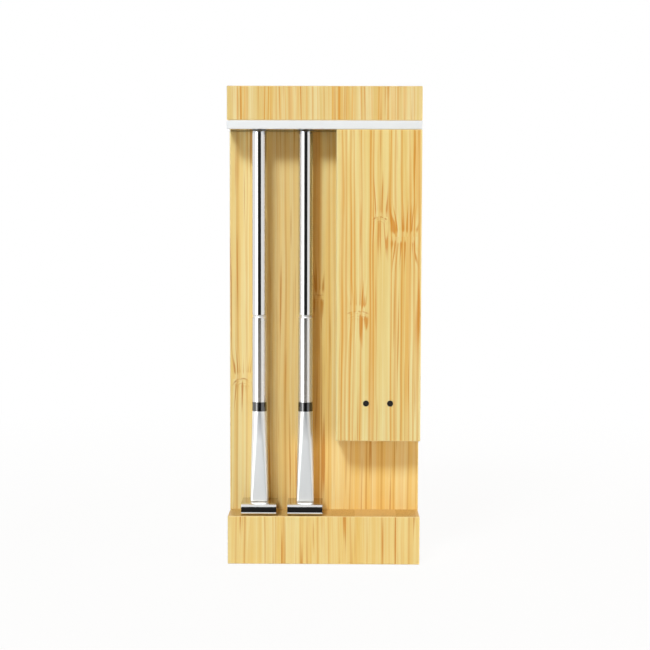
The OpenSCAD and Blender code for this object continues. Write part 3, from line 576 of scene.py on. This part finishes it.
def satin_steel():
    """Stainless steel, blasted and lightly polished at its corners: soft grey flats with a fine sparkle,
    and a painted highlight on the front facet, with painted shade that darkens it towards the point where it
    meets the ring."""
    material, tree, shader, place = start("satin_steel")
    grit = add(tree, "TexNoise", {"Vector": place, "Scale": 1 / SATIN_GRIT, "Detail": 2.0})
    face = facing(tree)
    aside = add(tree, "Math", {0: face.outputs["X"]}, operation="ABSOLUTE")
    ahead = add(tree, "Math", {0: face.outputs["Y"]}, operation="ABSOLUTE")
    flat = add(tree, "Math", {0: aside, 1: ahead}, operation="MAXIMUM")
    rough = add(tree, "MapRange", {"Value": flat, "From Min": FLAT_FACING[0], "From Max": FLAT_FACING[1],
                                   "To Min": SATIN_ROUGH[0], "To Max": SATIN_ROUGH[1]})
    rough = add(tree, "Math", {0: grit, 1: GRITTY, 2: rough}, operation="MULTIPLY_ADD")
    front = add(tree, "MapRange", {"Value": aside, "From Min": FRONT_FACING[0], "From Max": FRONT_FACING[1],
                                   "To Min": 1.0, "To Max": 0.0})
    # Painted highlight: the front facet is mixed towards white.
    pale = add(tree, "Math", {0: front, 1: FRONT_PAINTED_HIGHLIGHT}, operation="MULTIPLY")
    height = add(tree, "SeparateXYZ", {0: place}).outputs["Z"]
    # Painted shade: the front facet darkens towards the ring.
    painted_shade = add(tree, "MapRange", {"Value": height, "From Min": PAINTED_SHADE_HEIGHTS[0], "From Max": PAINTED_SHADE_HEIGHTS[1],
                                   "To Max": PAINTED_SHADE_DEPTH})
    painted_shade = add(tree, "Math", {0: painted_shade, 1: front}, operation="MULTIPLY")
    colour = add(tree, "MixRGB", {0: grit, 1: linear("#E6E6E4"), 2: linear("#F3F3F1")})
    colour = add(tree, "MixRGB", {0: pale, 1: colour, 2: linear(WHITE)})
    colour = add(tree, "MixRGB", {0: painted_shade, 1: colour, 2: linear("#8A8A8C")})
    relief = add(tree, "Bump", {"Strength": 0.1, "Distance": 0.01 * MM, "Height": grit})
    finish(tree, shader, Base_Color=colour, Roughness=rough, Normal=relief, Metallic=1.0)
    return material


# Anodised plate: grit in millimetres, drawn coarse enough to show, the facing of the underside and its
# roughness, and how much of the metal shows through the clear coat elsewhere.
PLATE_GRIT = 0.25
UNDER_FACING = -0.9
UNDER_POLISH = 0.12
COATED_METAL = 0.2


def anodised_aluminium():
    """Aluminium plate, blasted and clear anodised: an even pale grey with a fine grit, and a polished
    underside that mirrors the wood."""
    material, tree, shader, place = start("anodised_aluminium")
    grit = add(tree, "TexNoise", {"Vector": place, "Scale": 1 / PLATE_GRIT, "Detail": 2.0})
    looks = follow(tree, grit, tones=("#D9E0E8", "#E3E9F1"), rough=(0.55, 0.65), span=NOISE_SPAN)
    under = add(tree, "Math", {0: facing(tree).outputs["Z"], 1: UNDER_FACING}, operation="LESS_THAN")
    looks["Roughness"] = add(tree, "MapRange", {"Value": under, "To Min": looks["Roughness"],
                                                "To Max": UNDER_POLISH})
    metal = add(tree, "MapRange", {"Value": under, "To Min": COATED_METAL, "To Max": 1.0})
    relief = add(tree, "Bump", {"Strength": 0.15, "Distance": 0.01 * MM, "Height": grit})
    finish(tree, shader, **looks, Normal=relief, Metallic=metal)
    return material


# Patterns of the smaller pieces, as the size in millimetres of a cloud, grain, cell, fleck or crease.
# The finest are drawn coarser than they are, so that they show.
RING_CLOUD = 2 / 3
WINDOW_HAZE = 1 / 3
BEECH_FIBRE = (0.4, 10.0)
BEECH_FLECK = (1 / 3, 2.0)
ZINC_CLOUD = 0.625
BOARD_WEAVE = 1 / 3
LED_POWDER = 5 / 6
EPOXY_SAND = 1 / 7
ABS_PEBBLE = 0.2
FOIL_CREASE = 20 / 7
FOAM_CELL = 5 / 11
SLEEVE_BLOOM = 5 / 6
NICKEL_SCUFF = 10 / 9
GOLD_TURNING = (2.5, 1 / 6)
WIRE_TINT = 1.25
# Noise levels between which a fleck of beech sets in, and the share of its colour that shows.
FLECK_LEVELS = (0.62, 0.68)
FLECK_SHARE = 0.6
# Copper runs of the board: length, spacing and width in millimetres.
COPPER_RUN = (5.5, 1.6, 0.12)
# Rolling lines of tinned steel in millimetres: along X, and across.
ROLLING = (10 / 3, 0.25)
# Wave scale that repeats the pad's weave every 0.9 mm.
PAD_WAVE = 0.35


def zirconia_ceramic():
    """Black zirconia, fired and polished: near black with sharp bright reflections."""
    material, tree, shader, place = start("zirconia_ceramic")
    cloud = add(tree, "TexNoise", {"Vector": place, "Scale": 1 / RING_CLOUD, "Detail": 2.0})
    looks = follow(tree, cloud, tones=("#070708", "#0E0E10"), rough=(0.05, 0.1))
    finish(tree, shader, **looks, IOR=2.15)
    return material


def smoked_polycarbonate():
    """Smoked clear plastic light guide: a dark grey dot with a soft gloss."""
    material, tree, shader, place = start("smoked_polycarbonate")
    haze = add(tree, "TexNoise", {"Vector": place, "Scale": 1 / WINDOW_HAZE, "Detail": 3.0})
    looks = follow(tree, haze, tones=("#1B1B1D", "#2A2A2D"), rough=(0.22, 0.4))
    finish(tree, shader, **looks, IOR=1.58)
    return material


def turned_beech():
    """Beech dowel, turned: pinkish tan with short dark flecks along the grain."""
    material, tree, shader, place = start("turned_beech")
    fibre = drawn_out(tree, place, BEECH_FIBRE, detail=2.0)
    looks = follow(tree, fibre, tones=("#CBA478", "#E0C199"), rough=(0.5, 0.65))
    fleck = drawn_out(tree, place, BEECH_FLECK, detail=0.0)
    fleck = add(tree, "MapRange", {"Value": fleck, "From Min": FLECK_LEVELS[0],
                                   "From Max": FLECK_LEVELS[1], "To Max": FLECK_SHARE})
    looks["Base_Color"] = add(tree, "MixRGB", {0: fleck, 1: looks["Base_Color"], 2: linear("#9A6C42")})
    finish(tree, shader, **looks)
    return material


def zinc_plated_steel():
    """Steel screw with blue zinc plating: cool grey with a cloudy gloss."""
    material, tree, shader, place = start("zinc_plated_steel")
    cloud = add(tree, "TexNoise", {"Vector": place, "Scale": 1 / ZINC_CLOUD, "Detail": 3.0})
    looks = follow(tree, cloud, tones=("#A4A9AF", "#C5C9CC"), rough=(0.26, 0.4), span=NOISE_SPAN)
    finish(tree, shader, **looks, Metallic=1.0)
    return material


def solder_mask():
    """Glass fibre board under green lacquer: copper runs show through as a lighter green."""
    material, tree, shader, place = start("solder_mask")
    length, spacing, width = COPPER_RUN
    upright = add(tree, "Mapping", {"Vector": place, "Rotation": (math.pi / 2, 0.0, 0.0)})
    runs = add(tree, "TexBrick", {
        "Vector": upright, "Scale": 1.0, "Mortar Size": width, "Brick Width": length, "Row Height": spacing,
        "Color1": linear("#0C4B28"), "Color2": linear("#0F5530"), "Mortar": linear("#2A7D4B")})
    weave = add(tree, "TexNoise", {"Vector": place, "Scale": 1 / BOARD_WEAVE, "Detail": 2.0})
    rough = add(tree, "MapRange", {"Value": weave, "To Min": 0.24, "To Max": 0.36})
    relief = add(tree, "Bump", {"Strength": 0.3, "Distance": 0.02 * MM, "Height": runs.outputs["Fac"]})
    finish(tree, shader, Base_Color=runs, Roughness=rough, Normal=relief)
    return material


def led_resin():
    """Clear resin over yellow phosphor: a warm white chip that is yellower in its middle."""
    material, tree, shader, place = start("led_resin")
    powder = add(tree, "TexVoronoi", {"Vector": place, "Scale": 1 / LED_POWDER})
    looks = follow(tree, powder, tones=("#F0DE8C", "#F5F2E8"), rough=(0.2, 0.3))
    finish(tree, shader, **looks, IOR=1.5)
    return material


def epoxy_mould():
    """Black epoxy, moulded round the chip: charcoal with a fine sandy grain."""
    material, tree, shader, place = start("epoxy_mould")
    sand = add(tree, "TexNoise", {"Vector": place, "Scale": 1 / EPOXY_SAND, "Detail": 2.0})
    relief = add(tree, "Bump", {"Strength": 0.3, "Distance": 0.02 * MM, "Height": sand})
    looks = follow(tree, sand, tones=("#121214", "#232325"), rough=(0.5, 0.68))
    finish(tree, shader, **looks, Normal=relief)
    return material


def tinned_steel():
    """Thin steel, rolled, tinned and stamped: bright grey with faint rolling lines."""
    material, tree, shader, place = start("tinned_steel")
    along, apart = ROLLING
    rolled = add(tree, "TexNoise", {"Scale": 1.0, "Detail": 2.0, "Vector": add(tree, "Mapping", {
        "Vector": place, "Scale": (1 / along, 1 / apart, 1 / apart)})})
    looks = follow(tree, rolled, tones=("#B7B9BB", "#D0D2D3"), rough=(0.22, 0.36), span=NOISE_SPAN)
    finish(tree, shader, **looks, Metallic=1.0)
    return material


def spark_textured_abs():
    """Black ABS from a spark-eroded mould: matt, with a fine pebble that catches the light."""
    material, tree, shader, place = start("spark_textured_abs")
    pebble = add(tree, "TexVoronoi", {"Vector": place, "Scale": 1 / ABS_PEBBLE})
    relief = add(tree, "Bump", {"Strength": 0.4, "Distance": 0.02 * MM, "Height": pebble})
    looks = follow(tree, pebble, tones=("#141415", "#252527"), rough=(0.48, 0.62))
    finish(tree, shader, **looks, Normal=relief)
    return material


def pouch_foil():
    """Aluminium foil laminate, sealed round the cell: dull silver with shallow creases."""
    material, tree, shader, place = start("pouch_foil")
    crease = add(tree, "TexNoise", {"Vector": place, "Scale": 1 / FOIL_CREASE, "Detail": 3.0,
                                    "Distortion": 0.8})
    looks = follow(tree, crease, tones=("#9DA1A5", "#C3C6C9"), rough=(0.28, 0.44), span=NOISE_SPAN)
    relief = add(tree, "Bump", {"Strength": 0.4, "Distance": 0.15 * MM, "Height": crease})
    finish(tree, shader, **looks, Normal=relief, Metallic=1.0)
    return material


def closed_cell_foam():
    """Grey polyethylene foam, cut from a sheet: dull, with small open cells."""
    material, tree, shader, place = start("closed_cell_foam")
    cells = add(tree, "TexVoronoi", {"Vector": place, "Scale": 1 / FOAM_CELL})
    relief = add(tree, "Bump", {"Strength": 0.6, "Distance": 0.1 * MM, "Height": cells})
    looks = follow(tree, cells, tones=("#29292B", "#4B4B4E"), rough=(0.8, 0.95))
    finish(tree, shader, **looks, Normal=relief)
    return material


def silicone_sleeve(name, dark, light):
    """Silicone insulation, extruded over wire: one soft colour with a faint bloom."""
    material, tree, shader, place = start(name)
    bloom = add(tree, "TexNoise", {"Vector": place, "Scale": 1 / SLEEVE_BLOOM, "Detail": 3.0})
    looks = follow(tree, bloom, tones=(dark, light), rough=(0.38, 0.52))
    finish(tree, shader, **looks, IOR=1.41)
    return material


def nickel_plate():
    """Nickel plating on a pressed magnet: warm bright grey with fine scuffs."""
    material, tree, shader, place = start("nickel_plate")
    scuff = add(tree, "TexNoise", {"Vector": place, "Scale": 1 / NICKEL_SCUFF, "Detail": 5.0,
                                   "Distortion": 1.5})
    looks = follow(tree, scuff, tones=("#B3AFA7", "#D0CDC6"), rough=(0.14, 0.3), span=NOISE_SPAN)
    finish(tree, shader, **looks, Metallic=1.0)
    return material


def pad_rubber():
    """Black rubber sheet with a fine fabric print: dull, with a close square weave that grips."""
    material, tree, shader, place = start("pad_rubber")
    weft = add(tree, "TexWave", {"Vector": place, "Scale": PAD_WAVE}, bands_direction="X")
    warp = add(tree, "TexWave", {"Vector": place, "Scale": PAD_WAVE}, bands_direction="Y")
    weave = add(tree, "Math", {0: weft, 1: warp}, operation="MULTIPLY")
    relief = add(tree, "Bump", {"Strength": 0.5, "Distance": 0.1 * MM, "Height": weave})
    looks = follow(tree, weave, tones=("#161617", "#2C2C2E"), rough=(0.7, 0.88))
    finish(tree, shader, **looks, Normal=relief)
    return material


def gold_plate():
    """Gold plating on turned brass: warm yellow with fine turning rings."""
    material, tree, shader, place = start("gold_plate")
    rings = drawn_out(tree, place, GOLD_TURNING, detail=2.0)
    looks = follow(tree, rings, tones=("#D2A24A", "#EAC570"), rough=(0.16, 0.28), span=NOISE_SPAN)
    finish(tree, shader, **looks, Metallic=1.0)
    return material


def drawn_wire():
    """Spring wire, drawn and stress relieved: grey with a straw tint in places."""
    material, tree, shader, place = start("drawn_wire")
    tint = add(tree, "TexNoise", {"Vector": place, "Scale": 1 / WIRE_TINT, "Detail": 2.0})
    looks = follow(tree, tint, tones=("#8F9092", "#BDB6A8"), rough=(0.2, 0.32), span=NOISE_SPAN)
    finish(tree, shader, **looks, Metallic=1.0)
    return material


# Tip springs: wire thickness in millimetres, turns, the steps round a turn and round the wire, and the
# angle in degrees up to which the wire is shaded smooth.
WIRE = 0.4
TURNS = 4
TURN_STEPS = 28
WIRE_SIDES = 10
SMOOTH_ANGLE = 50.0


def tip_coil(n, material):
    """Compression spring over a probe's contact: round wire wound in open turns with cut ends."""
    node, joint = "tip_spring_" + n, "tip_press_" + n
    low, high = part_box(node)
    wire = WIRE / 2 * MM
    bpy.ops.object.select_all(action="DESELECT")
    bpy.ops.mesh.primitive_circle_add(vertices=WIRE_SIDES, radius=wire, rotation=(math.pi / 2, 0.0, 0.0),
                                      location=((high.x - low.x) / 2 - wire, 0.0, 0.0))
    coil = bpy.context.object
    coil.name = "tip_coil_" + n
    bpy.ops.object.transform_apply(location=True, rotation=True, scale=True)
    wind = coil.modifiers.new("wind", "SCREW")
    wind.axis = "Z"
    wind.screw_offset = (high.z - low.z - 2 * wire) / TURNS
    wind.iterations = TURNS
    wind.steps = wind.render_steps = TURN_STEPS
    bpy.ops.object.modifier_apply(modifier="wind")
    bpy.ops.object.mode_set(mode="EDIT")
    bpy.ops.mesh.select_all(action="DESELECT")
    bpy.ops.mesh.select_non_manifold()
    bpy.ops.mesh.fill_holes(sides=0)
    bpy.ops.mesh.select_all(action="SELECT")
    bpy.ops.mesh.normals_make_consistent(inside=False)
    bpy.ops.object.mode_set(mode="OBJECT")
    coil.location = ((low.x + high.x) / 2, (low.y + high.y) / 2, low.z + wire)
    bpy.ops.object.transform_apply(location=True, rotation=True, scale=True)
    bpy.ops.object.shade_smooth_by_angle(angle=math.radians(SMOOTH_ANGLE))
    coil.data.materials.clear()
    coil.data.materials.append(material)
    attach(coil, "charger")
    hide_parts(node)
    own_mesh(coil)


camera()
soft_boxes()
white_room()
white_floor()
for name, values in CARDS.items():
    card(name, *values)

slot_finish = {
    "dowel_wood": turned_beech(),
    "plate_metal": anodised_aluminium(),
    "screw_steel": zinc_plated_steel(),
    "smoked_window": smoked_polycarbonate(),
    "board_green": solder_mask(),
    "led_white": led_resin(),
    "chip_black": epoxy_mould(),
    "shield_steel": tinned_steel(),
    "button_black": spark_textured_abs(),
    "cell_foil": pouch_foil(),
    "foam": closed_cell_foam(),
    "wire_red": silicone_sleeve("silicone_red", "#8E1712", "#B0241C"),
    "wire_black": silicone_sleeve("silicone_black", "#101011", "#1E1E20"),
    "magnet": nickel_plate(),
    "pad_rubber": pad_rubber(),
    "gold_contact": gold_plate(),
    "spring_steel": drawn_wire(),
    "satin_steel": satin_steel(),
    "ceramic_black": zirconia_ceramic(),
}
body_veins = [(-29.5, 0.4), (-26.2, 0.35), (-16.0, 0.35), (-13.2, 0.5), (-1.8, 0.4), (1.6, 0.3),
              (9.0, 0.4), (14.5, 0.35), (19.5, 0.5), (24.0, 0.35), (28.6, 0.4)]
cap_veins = [(-28.5, 0.3), (-27.4, 0.45), (-25.4, 0.35), (-19.8, 0.35), (-18.6, 0.25), (-15.9, 0.25),
             (-11.2, 0.75), (-7.7, 0.25), (-4.0, 0.35), (3.4, 0.5), (4.9, 0.7), (12.1, 0.35),
             (17.7, 0.3), (20.8, 0.35), (23.8, 0.6), (29.0, 0.45)]
cover_veins = [(5.8, 0.4), (7.1, 0.5), (8.6, 0.45), (9.8, 0.35), (12.2, 0.4), (15.2, 0.55), (16.2, 0.4),
               (21.9, 0.3), (23.3, 0.5), (25.3, 0.45), (28.0, 0.35), (29.4, 0.4), (31.0, 0.6)]
node_finish = {
    "bamboo_body": laminated_bamboo(
        "bamboo_body", shift=(3.0, 0.0, 0.0), tones=("#E9DBA0", "#E3C16E"), veins=body_veins, lines=0.5,
        knuckles=[(-27.6, 61.0, 3.6, 4.0, 1.0), (-2.0, 89.5, 1.8, 6.0, 0.6)],
        # Painted light: paler back-layer tones for the recess.
        painted_light_back=("#F3E5AC", "#EFCE7A"),
        # Amber strips: partly the panel's own tone, partly painted shade beside the right-hand probe and
        # under the housing.
        amber=[(-13.5, 6.5, 0.20), (-3.0, 2.3, 0.65), (2.4, 2.6, 0.12), (18.5, 14.0, 0.20)]),
    "top_cap": laminated_bamboo(
        "bamboo_cap", shift=(41.0, 8.0, 77.0), tones=("#DFD4A2", "#D5B76A"), veins=cap_veins, lines=0.95),
    "electronics_cover": laminated_bamboo(
        "bamboo_cover", shift=(87.0, 3.0, 31.0), tones=("#E2D9A2", "#DABF72"), veins=cover_veins, lines=0.8,
        knuckles=[(18.2, 116.0, 2.6, 3.0, 0.35), (26.5, 109.5, 4.6, 0.0, 1.0), (11.2, 84.8, 3.4, 9.0, 0.95)],
        # Painted light: the cover is paler towards its foot.
        pale=0.25),
}
tube = mirror_steel("mirror_tube", dull=(0.25, 0.20), bare=(0.77, 0.87))
bar = mirror_steel("mirror_bar", dull=(0.08, 0.08))
for n in PROBES:
    node_finish["probe_shaft_" + n] = tube
    node_finish["t_bar_" + n] = bar
for part in frame["record"]["subparts"]:
    mesh = nodes[part["node"]].data
    mesh.materials.clear()
    mesh.materials.append(node_finish.get(part["node"]) or slot_finish[part["material_slot"]])
for n in PROBES:
    tip_coil(n, slot_finish["spring_steel"])

bpy.context.scene.view_settings.view_transform = "Standard"
